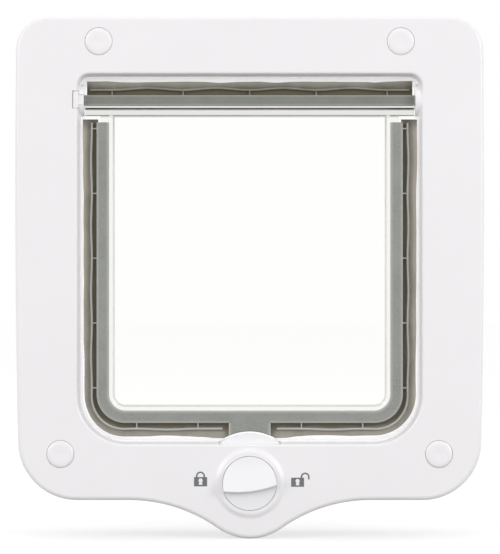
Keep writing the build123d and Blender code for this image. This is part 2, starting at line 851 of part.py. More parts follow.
# Bolt: shield with the round head, prong behind the flap, the web that joins them, and the follower
with BuildPart() as lock_bolt:
    with BuildSketch(front(shield_back)):
        add(bolt_head.sketch)
        with Locations((0, bolt_foot_z)):
            Rectangle(
                2 * bolt_half_width,
                bolt_head_z + bolt_head_radius - bolt_foot_z,
                align=(Align.CENTER, Align.MIN),
                mode=Mode.INTERSECT,
            )
        with Locations((0, knob_z - bolt_travel / 2)):
            SlotCenterToCenter(
                bolt_travel,
                2 * (spindle_radius + slide_gap),
                rotation=90,
                mode=Mode.SUBTRACT,
            )
    extrude(amount=shield_thickness)
    head_edges = lock_bolt.faces().sort_by(Axis.Y)[0].edges().filter_by(GeomType.CIRCLE)
    fillet(head_edges.sort_by(Axis.Z)[-1], shield_round)
    with BuildSketch(front(prong_back)):
        with Locations((0, bolt_head_z - prong_drop)):
            Circle(bolt_head_radius)
        with Locations((0, web_foot)):
            Rectangle(
                2 * prong_half_width,
                bolt_head_z + bolt_head_radius - web_foot,
                align=(Align.CENTER, Align.MIN),
                mode=Mode.INTERSECT,
            )
    extrude(amount=prong_thickness)
    with BuildSketch(front(prong_back)):
        with Locations((0, web_foot)):
            Rectangle(2 * prong_half_width, web_thickness, align=(Align.CENTER, Align.MIN))
    extrude(amount=shield_front - prong_back)
    with BuildSketch(front(shield_back)):
        with Locations((0, knob_z + follower_start)):
            Circle(follower_radius)
    extrude(amount=-(cam_gap + cam_groove_depth - follower_gap))

save(lock_bolt, "lock_bolt")

# Knob: disc with a curved finger ridge, steep on its lower side, and a flatted spindle
knob_back = skin_back + follower_gap
knob_rim = plate_depth + mound_height + knob_rim_height
ridge_top = knob_rim + ridge_height
ridge_brow = ridge_radius - ridge_flank
ridge_centre_x = -sin(radians(ridge_tilt)) * (ridge_radius - ridge_offset)
ridge_centre_z = knob_z + cos(radians(ridge_tilt)) * (ridge_radius - ridge_offset)
ridge_section = Plane(
    origin=(ridge_centre_x, 0, ridge_centre_z),
    x_dir=(sin(radians(ridge_tilt)), 0, -cos(radians(ridge_tilt))),
    z_dir=(-cos(radians(ridge_tilt)), 0, -sin(radians(ridge_tilt))),
)
near_rim = ridge_radius - ridge_offset - knob_radius - knob_gap
far_rim = ridge_radius - ridge_offset + knob_radius + knob_gap
with BuildPart() as lock_knob:
    with BuildSketch(ridge_section) as knob_section:
        with BuildLine():
            Spline(
                (near_rim, knob_rim),
                (ridge_brow, ridge_top),
                tangents=((1, 0.05), (1, ridge_climb)),
            )
            Line((ridge_brow, ridge_top), (ridge_radius, knob_rim + crease_height))
            Spline(
                (ridge_radius, knob_rim + crease_height),
                (far_rim, knob_rim),
                tangents=((1, -0.1), (1, 0)),
            )
            Polyline((far_rim, knob_rim), (far_rim, knob_back), (near_rim, knob_back), (near_rim, knob_rim))
        make_face()
        fillet(knob_section.vertices().filter_by_position(Axis.X, ridge_brow, ridge_radius), ridge_round)
    revolve(axis=turning_axis(ridge_centre_x, ridge_centre_z))
    with BuildSketch(front(knob_back)):
        with Locations((0, knob_z)):
            Circle(knob_radius)
    extrude(amount=ridge_top, mode=Mode.INTERSECT)
    with BuildSketch(front(cam_front)):
        with Locations((0, knob_z)):
            Circle(spindle_radius)
    extrude(amount=knob_back - cam_front)
    with BuildSketch(front(cam_back)):
        with Locations((0, knob_z)):
            Circle(spindle_radius)
        with Locations((spindle_flat, knob_z)):
            Rectangle(
                2 * spindle_radius,
                2 * spindle_radius,
                align=(Align.MIN, Align.CENTER),
                mode=Mode.SUBTRACT,
            )
    extrude(amount=cam_thickness)
    with BuildSketch(front(cam_back)):
        with Locations((0, knob_z)):
            Circle(knob_screw_radius + screw_pilot_clearance)
    extrude(amount=knob_screw_length, mode=Mode.SUBTRACT)

save(lock_knob, "lock_knob")

# Scroll cam: a groove whose radius grows evenly through the knob's turn
cam_steps = 12


def scroll(share, out):
    """Point of the scroll at a share of the turn, moved outwards, from the top and on to the right."""
    angle = radians(90 - knob_turn * share)
    radius = follower_start + bolt_travel * share + out
    return (radius * cos(angle), knob_z + radius * sin(angle))


def polar(angle, radius):
    return (radius * cos(radians(angle)), knob_z + radius * sin(radians(angle)))


groove_half = follower_radius + follower_gap


def scroll_end(share):
    """Tip of the groove's round end, beyond its first or last point."""
    x, z = scroll(share, 0)
    angle = radians(90 - knob_turn * share)
    reach = groove_half if share else -groove_half
    return (x + reach * sin(angle), z - reach * cos(angle))


cam_start_radius = follower_start + groove_half + cam_wall
cam_end_radius = cam_start_radius + bolt_travel
shares = [i / cam_steps for i in range(cam_steps + 1)]
with BuildPart() as lock_cam:
    with BuildSketch(front(cam_back)):
        with BuildLine():
            Spline(*[scroll(share, groove_half + cam_wall) for share in shares])
            RadiusArc(scroll(1, groove_half + cam_wall), polar(-120, cam_end_radius), cam_end_radius)
            ThreePointArc(
                polar(-120, cam_end_radius),
                polar(180, (cam_start_radius + cam_end_radius) / 2),
                polar(115, cam_start_radius),
            )
            RadiusArc(polar(115, cam_start_radius), scroll(0, groove_half + cam_wall), cam_start_radius)
        make_face()
        with Locations((0, knob_z)):
            Circle(spindle_radius + fit_gap, mode=Mode.SUBTRACT)
    extrude(amount=cam_thickness)
    with BuildSketch(front(cam_back)):
        with Locations((spindle_flat + fit_gap, knob_z)):
            Rectangle(
                spindle_radius - spindle_flat + fit_gap,
                spindle_radius,
                align=(Align.MIN, Align.CENTER),
            )
    extrude(amount=cam_thickness)
    with BuildSketch(front(cam_front)):
        with BuildLine():
            Spline(*[scroll(share, groove_half) for share in shares])
            ThreePointArc(scroll(1, groove_half), scroll_end(1), scroll(1, -groove_half))
            Spline(*[scroll(share, -groove_half) for share in shares])
            ThreePointArc(scroll(0, -groove_half), scroll_end(0), scroll(0, groove_half))
        make_face()
    extrude(amount=-cam_groove_depth, mode=Mode.SUBTRACT)

save(lock_cam, "lock_cam")

# Washer and screw that hold the cam on the spindle
washer_back = cam_back - washer_thickness
with BuildPart() as knob_washer:
    with BuildSketch(front(cam_back)):
        with Locations((0, knob_z)):
            Circle(washer_radius)
            Circle(knob_screw_radius + screw_clearance, mode=Mode.SUBTRACT)
    extrude(amount=-washer_thickness)

save(knob_washer, "knob_washer")

with BuildPart() as knob_screw:
    with BuildSketch(front(washer_back)):
        with Locations((0, knob_z)):
            Circle(knob_screw_head)
    extrude(amount=-knob_screw_head_height)
    with BuildSketch(front(washer_back)):
        with Locations((0, knob_z)):
            Circle(knob_screw_radius)
    extrude(amount=knob_screw_length - washer_thickness)
    fillet(knob_screw.edges().sort_by(Axis.Y)[-1], knob_screw_head_height / 2)

save(knob_screw, "knob_screw")

# Cover behind the lock and its countersunk screws
with BuildPart() as lock_cover:
    with BuildSketch(front(cover_inset)):
        with Locations((0, knob_z)):
            Circle(bulge_radius - plate_skirt - cover_margin)
        with Locations((0, web_foot)):
            Rectangle(
                2 * (cover_top_x + cover_boss_radius),
                2 * cover_boss_radius,
            )
        with Locations((0, floor_z - tunnel_wall - slide_gap)):
            Rectangle(
                2 * bulge_radius,
                2 * bulge_radius,
                align=(Align.CENTER, Align.MIN),
                mode=Mode.SUBTRACT,
            )
        with Locations((0, knob_z)):
            Circle(washer_radius, mode=Mode.SUBTRACT)
    extrude(amount=cover_thickness)
    for x, z in cover_screw_places:
        with BuildSketch(turned(x, z)):
            Polygon(*cover_screw_section(fit_gap), align=None)
        revolve(axis=turning_axis(x, z), mode=Mode.SUBTRACT)

save(lock_cover, "lock_cover")

with BuildPart() as lock_cover_screws:
    for x, z in cover_screw_places:
        with BuildSketch(turned(x, z)):
            Polygon(*cover_screw_section(0), align=None)
        revolve(axis=turning_axis(x, z))

save(lock_cover_screws, "lock_cover_screws")
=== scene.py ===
import bmesh
import bpy
import numpy as np
from mathutils import Matrix, Vector


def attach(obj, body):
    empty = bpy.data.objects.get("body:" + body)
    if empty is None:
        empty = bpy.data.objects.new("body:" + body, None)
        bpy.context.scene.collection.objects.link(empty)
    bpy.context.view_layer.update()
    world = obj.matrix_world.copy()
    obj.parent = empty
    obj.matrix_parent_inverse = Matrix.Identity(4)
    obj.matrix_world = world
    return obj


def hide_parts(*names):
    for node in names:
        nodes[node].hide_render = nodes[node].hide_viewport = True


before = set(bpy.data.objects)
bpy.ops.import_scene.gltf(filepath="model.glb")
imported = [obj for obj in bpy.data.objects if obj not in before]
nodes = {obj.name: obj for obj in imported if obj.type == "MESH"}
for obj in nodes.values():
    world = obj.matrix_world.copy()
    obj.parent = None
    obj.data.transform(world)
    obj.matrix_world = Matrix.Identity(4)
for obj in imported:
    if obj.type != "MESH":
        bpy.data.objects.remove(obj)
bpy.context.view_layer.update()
mm = 0.001
print("frame loaded,", len(nodes), "CAD nodes")


def linearColour(code):
    # sRGB hex to linear: a straight line up to 0.04045, a 2.4 power curve above it
    part = np.array([int(code[i:i + 2], 16) for i in (0, 2, 4)]) / 255
    part = np.where(part <= 0.04045, part / 12.92, ((part + 0.055) / 1.055) ** 2.4)
    return (*part.tolist(), 1.0)


def addNode(tree, kind, inputs=None, **settings):
    # one node with its settings; an input takes a plain value, or a socket to link from
    node = tree.nodes.new(kind)
    for name, value in settings.items():
        setattr(node, name, value)
    for name, value in (inputs or {}).items():
        if isinstance(value, bpy.types.NodeSocket):
            tree.links.new(value, node.inputs[name])
        else:
            node.inputs[name].default_value = value
    return node


def newMaterial(name):
    material = bpy.data.materials.new(name)
    material.use_nodes = True
    material.node_tree.nodes.clear()
    return material, material.node_tree


# nearly all of a noise lies between these two, so a map from them uses the whole range of a value
noiseSpan = {"From Min": 0.3, "From Max": 0.7}

# White ABS, injection moulded in a finely spark-eroded tool: an even, barely cool white with a satin shine
whiteSet = dict(light="F4F2F4", shade="F0EEF0", cloud=45, grain=1.1, grainDepth=0.003, roughLow=0.25,
                roughHigh=0.27, ior=1.53)


def whitePlastic(name, s):
    material, tree = newMaterial(name)
    place = addNode(tree, "ShaderNodeTexCoord").outputs["Object"]
    cloud = addNode(tree, "ShaderNodeTexNoise", {"Vector": place, "Scale": 1 / (s["cloud"] * mm), "Detail": 2.0})
    colour = addNode(tree, "ShaderNodeMix", {0: cloud.outputs["Fac"], 6: linearColour(s["light"]),
                                             7: linearColour(s["shade"])}, data_type="RGBA")
    # tool grain is about 0.2 mm; drawn at about 1 mm, so that it shows at all
    grain = addNode(tree, "ShaderNodeTexNoise", {"Vector": place, "Scale": 1 / (s["grain"] * mm), "Detail": 3.0})
    rough = addNode(tree, "ShaderNodeMapRange", {"Value": grain.outputs["Fac"], **noiseSpan,
                                                 "To Min": s["roughLow"], "To Max": s["roughHigh"]})
    bump = addNode(tree, "ShaderNodeBump", {"Height": grain.outputs["Fac"], "Strength": 0.5,
                                            "Distance": s["grainDepth"] * mm})
    shader = addNode(tree, "ShaderNodeBsdfPrincipled", {
        "Base Color": colour.outputs[2], "Roughness": rough.outputs["Result"], "IOR": s["ior"],
        "Normal": bump.outputs["Normal"]})
    addNode(tree, "ShaderNodeOutputMaterial", {"Surface": shader.outputs["BSDF"]})
    return material


# White acetal of the lock, moulded in a plain tool: a shade cooler and a little more matt than the frame
lockSet = dict(light="F3F3F5", shade="F0F0F2", cloud=20, grain=0.9, grainDepth=0.006, roughLow=0.30, roughHigh=0.36,
               ior=1.53)

# Clear polycarbonate: colourless, polished, with the slight waviness of a moulded sheet
# the border's and the hinge bar's colours are greyed by painted shade, for their refraction and reflection
clearSet = dict(tint="FEFEFC", thick="E6E5E2", barFoot=64.0, border="F6F5F2", half=61.2, foot=-65.6, wave=32,
                waveDepth=0.02, roughness=0.02, ior=1.58)


def clearPlastic(name, s):
    material, tree = newMaterial(name)
    place = addNode(tree, "ShaderNodeTexCoord").outputs["Object"]
    wave = addNode(tree, "ShaderNodeTexNoise", {"Vector": place, "Scale": 1 / (s["wave"] * mm), "Detail": 1.0})
    bump = addNode(tree, "ShaderNodeBump", {"Height": wave.outputs["Fac"], "Strength": 0.4,
                                            "Distance": s["waveDepth"] * mm})
    # greyer in the border beside and below the window and in the hinge bar: a little from the thicker plastic,
    # mostly painted shade for the refraction and reflection seen there
    axis = addNode(tree, "ShaderNodeSeparateXYZ", {0: place})
    beside = addNode(tree, "ShaderNodeMath", {0: axis.outputs["X"]}, operation="ABSOLUTE")
    beside = addNode(tree, "ShaderNodeMath", {0: beside.outputs[0], 1: s["half"] * mm}, operation="GREATER_THAN")
    below = addNode(tree, "ShaderNodeMath", {0: axis.outputs["Z"], 1: s["foot"] * mm}, operation="LESS_THAN")
    inBorder = addNode(tree, "ShaderNodeMath", {0: beside.outputs[0], 1: below.outputs[0]}, operation="MAXIMUM")
    inBar = addNode(tree, "ShaderNodeMath", {0: axis.outputs["Z"], 1: s["barFoot"] * mm}, operation="GREATER_THAN")
    pane = addNode(tree, "ShaderNodeMix", {0: inBorder.outputs[0], 6: linearColour(s["tint"]),
                                           7: linearColour(s["border"])}, data_type="RGBA")
    colour = addNode(tree, "ShaderNodeMix", {0: inBar.outputs[0], 6: pane.outputs[2],
                                             7: linearColour(s["thick"])}, data_type="RGBA")
    shader = addNode(tree, "ShaderNodeBsdfPrincipled", {
        "Base Color": colour.outputs[2], "Roughness": s["roughness"], "IOR": s["ior"],
        "Transmission Weight": 1.0, "Normal": bump.outputs["Normal"]})
    # lamps shine through, as they do through a thin clear pane
    through = addNode(tree, "ShaderNodeBsdfTransparent", {"Color": linearColour(s["tint"])})
    rays = addNode(tree, "ShaderNodeLightPath")
    mixed = addNode(tree, "ShaderNodeMixShader", {0: rays.outputs["Is Shadow Ray"], 1: shader.outputs["BSDF"],
                                                  2: through.outputs["BSDF"]})
    addNode(tree, "ShaderNodeOutputMaterial", {"Surface": mixed.outputs["Shader"]})
    return material


# Grey polypropylene of the flap's edging and its rail, moulded: matt, faintly green, a little cloudy, with a painted
# highlight along its edges; the rail's colours are the same plastic painted darker, as painted shade under the roof
# the edge colour is a painted highlight, laid along each edge over a band of the given width
greySet = dict(light="959792", shade="868883", edge="ABADA8", rub=1.4, half=69.2, foot=-74.1, corner=13.0, width=5.5,
               tabHalf=9.3, cloud=14, fine=0.8, fineDepth=0.02, roughLow=0.48, roughHigh=0.62, ior=1.49)
# the rail's colours are the edging's plastic painted darker: painted shade from the tunnel's roof above it
railSet = dict(light="82847D", shade="757770", edge="9A9C96", rub=1.0, foot=69.4, top=74.0, cloud=10, fine=0.7,
               fineDepth=0.02, roughLow=0.44, roughHigh=0.58, ior=1.49)


def easedShare(tree, value, start, end):
    # 0 at the first distance, 1 at the second, eased between them
    return addNode(tree, "ShaderNodeMapRange", {"Value": value, "From Min": start * mm, "From Max": end * mm},
                   interpolation_type="SMOOTHSTEP").outputs["Result"]


def edgingRub(tree, place, s):
    # painted edge highlight: 1 at the outer edge, at the inner edge and at the tab's sides, 0 between them
    # reach from the outer edge: distance past the corner's centre, less the corner's radius
    axis = addNode(tree, "ShaderNodeSeparateXYZ", {0: place})
    beside = addNode(tree, "ShaderNodeMath", {0: axis.outputs["X"]}, operation="ABSOLUTE").outputs[0]
    pastX = addNode(tree, "ShaderNodeMath", {0: beside, 1: (s["half"] - s["corner"]) * mm}, operation="SUBTRACT")
    pastZ = addNode(tree, "ShaderNodeMath", {0: (s["foot"] + s["corner"]) * mm, 1: axis.outputs["Z"]},
                    operation="SUBTRACT")
    past = addNode(tree, "ShaderNodeCombineXYZ", {"X": pastX.outputs[0], "Y": pastZ.outputs[0]})
    past = addNode(tree, "ShaderNodeVectorMath", {0: past.outputs[0], 1: (0, 0, 0)}, operation="MAXIMUM")
    past = addNode(tree, "ShaderNodeVectorMath", {0: past.outputs[0]}, operation="LENGTH").outputs["Value"]
    reach = addNode(tree, "ShaderNodeMath", {0: past, 1: s["corner"] * mm}, operation="SUBTRACT").outputs[0]
    clear = addNode(tree, "ShaderNodeMath", {0: beside, 1: s["tabHalf"] * mm}, operation="GREATER_THAN")
    outer = addNode(tree, "ShaderNodeMath", {0: easedShare(tree, reach, -s["rub"], 0), 1: clear.outputs[0]},
                    operation="MULTIPLY")
    inner = easedShare(tree, reach, s["rub"] - s["width"], -s["width"])
    below = addNode(tree, "ShaderNodeMath", {0: axis.outputs["Z"], 1: s["foot"] * mm}, operation="LESS_THAN")
    tab = addNode(tree, "ShaderNodeMath", {0: easedShare(tree, beside, s["tabHalf"] - s["rub"], s["tabHalf"]),
                                           1: below.outputs[0]}, operation="MULTIPLY")
    share = addNode(tree, "ShaderNodeMath", {0: outer.outputs[0], 1: inner}, operation="MAXIMUM")
    return addNode(tree, "ShaderNodeMath", {0: share.outputs[0], 1: tab.outputs[0]}, operation="MAXIMUM").outputs[0]


def railRub(tree, place, s):
    # painted edge highlight: 1 at the rail's upper and lower edge, 0 between them
    height = addNode(tree, "ShaderNodeSeparateXYZ", {0: place}).outputs["Z"]
    top = easedShare(tree, height, s["top"] - s["rub"], s["top"])
    foot = easedShare(tree, height, s["foot"] + s["rub"], s["foot"])
    return addNode(tree, "ShaderNodeMath", {0: top, 1: foot}, operation="MAXIMUM").outputs[0]


def greyPlastic(name, s, rub):
    material, tree = newMaterial(name)
    place = addNode(tree, "ShaderNodeTexCoord").outputs["Object"]
    cloud = addNode(tree, "ShaderNodeTexNoise", {"Vector": place, "Scale": 1 / (s["cloud"] * mm), "Detail": 4.0})
    fine = addNode(tree, "ShaderNodeTexNoise", {"Vector": place, "Scale": 1 / (s["fine"] * mm), "Detail": 3.0})
    blend = addNode(tree, "ShaderNodeMath", {0: cloud.outputs["Fac"], 1: fine.outputs["Fac"]}, operation="MULTIPLY")
    # nearly all of two noises' product lies between 0.12 and 0.40
    share = addNode(tree, "ShaderNodeMapRange", {"Value": blend.outputs[0], "From Min": 0.12, "From Max": 0.40})
    colour = addNode(tree, "ShaderNodeMix", {0: share.outputs["Result"], 6: linearColour(s["light"]),
                                             7: linearColour(s["shade"])}, data_type="RGBA")
    # mix in the painted highlight along the edges
    colour = addNode(tree, "ShaderNodeMix", {0: rub(tree, place, s), 6: colour.outputs[2],
                                             7: linearColour(s["edge"])}, data_type="RGBA")
    rough = addNode(tree, "ShaderNodeMapRange", {"Value": fine.outputs["Fac"], **noiseSpan,
                                                 "To Min": s["roughLow"], "To Max": s["roughHigh"]})
    bump = addNode(tree, "ShaderNodeBump", {"Height": fine.outputs["Fac"], "Strength": 0.5,
                                            "Distance": s["fineDepth"] * mm})
    shader = addNode(tree, "ShaderNodeBsdfPrincipled", {
        "Base Color": colour.outputs[2], "Roughness": rough.outputs["Result"], "IOR": s["ior"],
        "Normal": bump.outputs["Normal"]})
    addNode(tree, "ShaderNodeOutputMaterial", {"Surface": shader.outputs["BSDF"]})
    return material


# Grey thermoplastic elastomer of the lips, moulded: matt and rubbery; the film's colour runs from painted shade at
# its root, in the groove, to a paler, warmer painted light at its thin edge, where light shows through
sealSet = dict(root="5F5848", rootAt=0.19, middle="96938A", middleAt=0.52, edge="C4BAAB", fin="B4B5AF", cloud=9,
               drift=0.08, fine=0.7, fineDepth=0.02, roughness=0.62, ior=1.48)


def softSeal(name, s):
    material, tree = newMaterial(name)
    place = addNode(tree, "ShaderNodeTexCoord").outputs["Object"]
    reach = addNode(tree, "ShaderNodeAttribute", attribute_name="filmReach").outputs["Fac"]
    onFin = addNode(tree, "ShaderNodeAttribute", attribute_name="onFin").outputs["Fac"]
    cloud = addNode(tree, "ShaderNodeTexNoise", {"Vector": place, "Scale": 1 / (s["cloud"] * mm), "Detail": 3.0})
    drift = addNode(tree, "ShaderNodeMapRange", {"Value": cloud.outputs["Fac"], **noiseSpan,
                                                 "To Min": -s["drift"], "To Max": s["drift"]})
    across = addNode(tree, "ShaderNodeMath", {0: reach, 1: drift.outputs["Result"]}, operation="ADD")
    # painted shade at the root, painted light towards the thin edge
    ramp = addNode(tree, "ShaderNodeValToRGB", {"Fac": across.outputs[0]})
    ramp.color_ramp.elements[0].position = s["rootAt"]
    ramp.color_ramp.elements[0].color = linearColour(s["root"])
    ramp.color_ramp.elements[1].position = 1.0
    ramp.color_ramp.elements[1].color = linearColour(s["edge"])
    ramp.color_ramp.elements.new(s["middleAt"]).color = linearColour(s["middle"])
    # the fin takes a painted highlight colour, by its share
    colour = addNode(tree, "ShaderNodeMix", {0: onFin, 6: ramp.outputs["Color"], 7: linearColour(s["fin"])},
                     data_type="RGBA")
    fine = addNode(tree, "ShaderNodeTexNoise", {"Vector": place, "Scale": 1 / (s["fine"] * mm), "Detail": 2.0})
    bump = addNode(tree, "ShaderNodeBump", {"Height": fine.outputs["Fac"], "Strength": 0.4,
                                            "Distance": s["fineDepth"] * mm})
    shader = addNode(tree, "ShaderNodeBsdfPrincipled", {
        "Base Color": colour.outputs[2], "Roughness": s["roughness"], "IOR": s["ior"],
        "Normal": bump.outputs["Normal"]})
    addNode(tree, "ShaderNodeOutputMaterial", {"Surface": shader.outputs["BSDF"]})
    return material


# Zinc-plated steel of the screws and nickel-plated magnets: bright metal, finely uneven in tone and shine
zincSet = dict(light="C9CBD0", shade="A9ACB2", grain=0.6, roughLow=0.26, roughHigh=0.42)
magnetSet = dict(light="9A9A9C", shade="7E7E82", grain=0.9, roughLow=0.30, roughHigh=0.48)


def platedMetal(name, s):
    material, tree = newMaterial(name)
    place = addNode(tree, "ShaderNodeTexCoord").outputs["Object"]
    grain = addNode(tree, "ShaderNodeTexNoise", {"Vector": place, "Scale": 1 / (s["grain"] * mm), "Detail": 4.0})
    colour = addNode(tree, "ShaderNodeMix", {0: grain.outputs["Fac"], 6: linearColour(s["light"]),
                                             7: linearColour(s["shade"])}, data_type="RGBA")
    rough = addNode(tree, "ShaderNodeMapRange", {"Value": grain.outputs["Fac"], "To Min": s["roughLow"],
                                                 "To Max": s["roughHigh"]})
    shader = addNode(tree, "ShaderNodeBsdfPrincipled", {
        "Base Color": colour.outputs[2], "Roughness": rough.outputs["Result"], "Metallic": 1.0})
    addNode(tree, "ShaderNodeOutputMaterial", {"Surface": shader.outputs["BSDF"]})
    return material


# Grey pad-printing ink of the signs: dense and matt, very slightly uneven
inkSet = dict(light="75747A", shade="69686E", patch=0.7, roughness=0.55)


def printedInk(name, s):
    material, tree = newMaterial(name)
    place = addNode(tree, "ShaderNodeTexCoord").outputs["Object"]
    patch = addNode(tree, "ShaderNodeTexNoise", {"Vector": place, "Scale": 1 / (s["patch"] * mm), "Detail": 2.0})
    colour = addNode(tree, "ShaderNodeMix", {0: patch.outputs["Fac"], 6: linearColour(s["light"]),
                                             7: linearColour(s["shade"])}, data_type="RGBA")
    shader = addNode(tree, "ShaderNodeBsdfPrincipled", {"Base Color": colour.outputs[2], "Roughness": s["roughness"]})
    addNode(tree, "ShaderNodeOutputMaterial", {"Surface": shader.outputs["BSDF"]})
    return material


whiteAbs = whitePlastic("whiteAbs", whiteSet)
whiteAcetal = whitePlastic("whiteAcetal", lockSet)
clearPolycarbonate = clearPlastic("clearPolycarbonate", clearSet)
greyPolypropylene = greyPlastic("greyPolypropylene", greySet, edgingRub)
# the rail's material is the edging's plastic in painted shade
darkPolypropylene = greyPlastic("darkPolypropylene", railSet, railRub)
greyElastomer = softSeal("greyElastomer", sealSet)
zincPlatedSteel = platedMetal("zincPlatedSteel", zincSet)
nickelPlatedMagnet = platedMetal("nickelPlatedMagnet", magnetSet)
greyPrintingInk = printedInk("greyPrintingInk", inkSet)

finishes = {
    whiteAbs: ["front_frame", "rear_frame", "cap_top_left", "cap_top_right", "cap_bottom_left", "cap_bottom_right",
               "lock_cover", "hinge_keeper"],
    whiteAcetal: ["lock_knob", "lock_bolt", "lock_cam"],
    clearPolycarbonate: ["flap_pane"],
    greyPolypropylene: ["flap_frame", "latch_tab"],
    darkPolypropylene: ["top_rail"],
    greyElastomer: ["lip_left", "lip_right", "top_lip"],
    zincPlatedSteel: ["frame_screws", "lock_cover_screws", "knob_screw", "knob_washer"],
    nickelPlatedMagnet: ["frame_magnet", "flap_magnet"],
}
for finish, names in finishes.items():
    for name in names:
        for materialSlot in nodes[name].material_slots:
            materialSlot.material = finish
print("materials set on", sum(len(names) for names in finishes.values()), "CAD nodes")


def gridFaces(rows, columns):
    # quads of a grid that is closed across its columns, row by row
    r, c = np.meshgrid(np.arange(rows - 1), np.arange(columns), indexing="ij")
    n = (c + 1) % columns
    corners = [r * columns + c, r * columns + n, (r + 1) * columns + n, (r + 1) * columns + c]
    return np.stack(corners, -1).reshape(-1, 4)


def endFaces(first, columns):
    # a flat end: each point of the ring's first half joins its mirror point in the second half
    i = np.arange(columns // 2 - 1)
    return first + np.stack([i, i + 1, columns - 2 - i, columns - 1 - i], -1)


def sweptShell(points):
    # a ring of points per row, carried along a path, closed by flat ends
    rows, columns = points.shape[:2]
    faces = np.concatenate([gridFaces(rows, columns), endFaces(0, columns), endFaces((rows - 1) * columns, columns)])
    return points.reshape(-1, 3), faces


def makePiece(name, shells, material, body, sharp=40, **attributes):
    # joins shells into one mesh at the origin, in metres, with a value per point for each attribute
    starts = np.cumsum([0] + [len(points) for points, _ in shells])
    points = np.concatenate([points for points, _ in shells]) * mm
    faces = np.concatenate([faces + start for (_, faces), start in zip(shells, starts)])
    mesh = bpy.data.meshes.new(name)
    mesh.from_pydata(points.tolist(), [], faces.tolist())
    for key, values in attributes.items():
        field = mesh.attributes.new(key, "FLOAT", "POINT")
        field.data.foreach_set("value", np.concatenate(values).astype(np.float32))
    shape = bmesh.new()
    shape.from_mesh(mesh)
    bmesh.ops.remove_doubles(shape, verts=shape.verts, dist=1e-7)  # a tenth of a micron
    bmesh.ops.recalc_face_normals(shape, faces=shape.faces)
    shape.to_mesh(mesh)
    shape.free()
    mesh.polygons.foreach_set("use_smooth", np.ones(len(mesh.polygons), bool))
    mesh.set_sharp_from_angle(angle=np.radians(sharp))
    mesh.materials.append(material)
    piece = bpy.data.objects.new(name, mesh)
    bpy.context.scene.collection.objects.link(piece)
    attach(piece, body)
    print(name, "made,", len(mesh.vertices), "points")
    return piece


def smoothKeys(x, keys):
    # value through (place, value) keys, eased between each two by 3t^2 - 2t^3
    at, value = np.array(keys, float).T
    i = np.clip(np.searchsorted(at, x) - 1, 0, len(at) - 2)
    t = np.clip((x - at[i]) / (at[i + 1] - at[i]), 0, 1)
    return value[i] + (value[i + 1] - value[i]) * t * t * (3 - 2 * t)


def ripple(x, seed, shortest, longest, count=5):
    # sum of sines of seeded lengths and phases, between about -1 and 1
    dice = np.random.default_rng(seed)
    lengths = dice.uniform(shortest, longest, count)
    phases = dice.uniform(0, 2 * np.pi, count)
    return np.sin(2 * np.pi * x[..., None] / lengths + phases).sum(-1) / np.sqrt(count)


# Soft lips: film in the edging's groove, a standing fin that ties draw in, and the ties; keys are (run, value)
lipSet = dict(ahead=6.5, root=-0.65, fullReach=6.4, filmRoot=0.76, filmEdge=0.34, filmSteps=14, filmBunch=0.85,
              edgePower=24, edgeLeft=0.03, sway=0.35, swayRuns=(22, 60), finThick=0.9, finHalf=2.2, beadSteps=9,
              underFin=0.4, tieThick=0.7, tieHalf=1.85, tieStart=0.05, tieWaist=0.25, tieCut=0.25, tieSteps=7)
# the film's keyed shade darkens its ends, painted shade in the corners; the keyed gain cuts its painted light at the
# foot
sideSet = dict(half=69.2, foot=-74.1, corner=13.0, cornerOut=1.0, top=63.2, lastRun=193.1, finRun=(1.6, 190.2),
               steps=300, wave=0.14, waveRuns=(16, 50), waveSeed=5, swaySeed=11, finWave=0.4, filmPower=1.0,
               filmTone=[(0, 0.5), (6, 1.0), (187, 1.0), (193, 0.5)],
               finReach=[(0, 1.72), (118, 1.72), (146, 2.12), (194, 2.12)],
               finTone=[(0, 0.75), (118, 0.75), (146, 1.0), (194, 1.0)],
               edgeGain=[(0, 1.0), (118, 1.0), (146, 0.12), (194, 0.12)],
               ties=(4.2, 33.5, 62.8, 92.1, 121.4, 151.4, 179.1), headZ=-100.6, headRadius=22.7, headHalf=14,
               reach=[(0, 6.6), (25, 6.45), (50, 6.15), (68, 6.3), (92, 6.2), (108, 5.9), (122, 5.95), (146, 6.15),
                      (155, 6.15), (163, 5.95), (175, 6.05), (180, 6.3), (187, 6.9), (194, 7.0)],
               trims=dict(seal_left=[(0, -0.27), (124, -0.27), (146, 0.0), (194, 0.0)],
                          seal_right=[(0, 0.0), (130, 0.0), (152, -0.4), (166, -0.3), (178, -0.1), (194, -0.1)]))
# the top lip's film is painted darker all along, most towards its right end: painted shade under the roof
topSet = dict(railTop=74.0, half=73.6, finHalfRun=72.1, ties=(-62.2, -30.1, 0.0, 30.1, 62.2),
              steps=220, wave=0.08, waveRuns=(14, 40), waveSeed=21, swaySeed=23, finWave=0.85, filmPower=1.4,
              filmTone=[(-74, 0.5), (-70, 0.67), (50, 0.67), (62, 0.56), (69, 0.5), (74, 0.36)],
              finReach=[(-74, 1.95), (74, 1.95)], finTone=[(-74, 0.12), (30, 0.08), (74, 0.04)],
              edgeGain=[(-74, 1.0), (74, 1.0)],
              reach=[(-74, 6.4), (-66, 6.4), (-58, 6.0), (-30, 6.25), (-21, 6.25), (-13, 5.77), (-4, 6.25),
                     (3, 6.27), (12.3, 5.88), (20, 6.22), (27, 6.39), (34, 6.27), (46, 6.13), (53, 6.1),
                     (56.5, 5.92), (62.5, 6.44), (74, 6.55)])


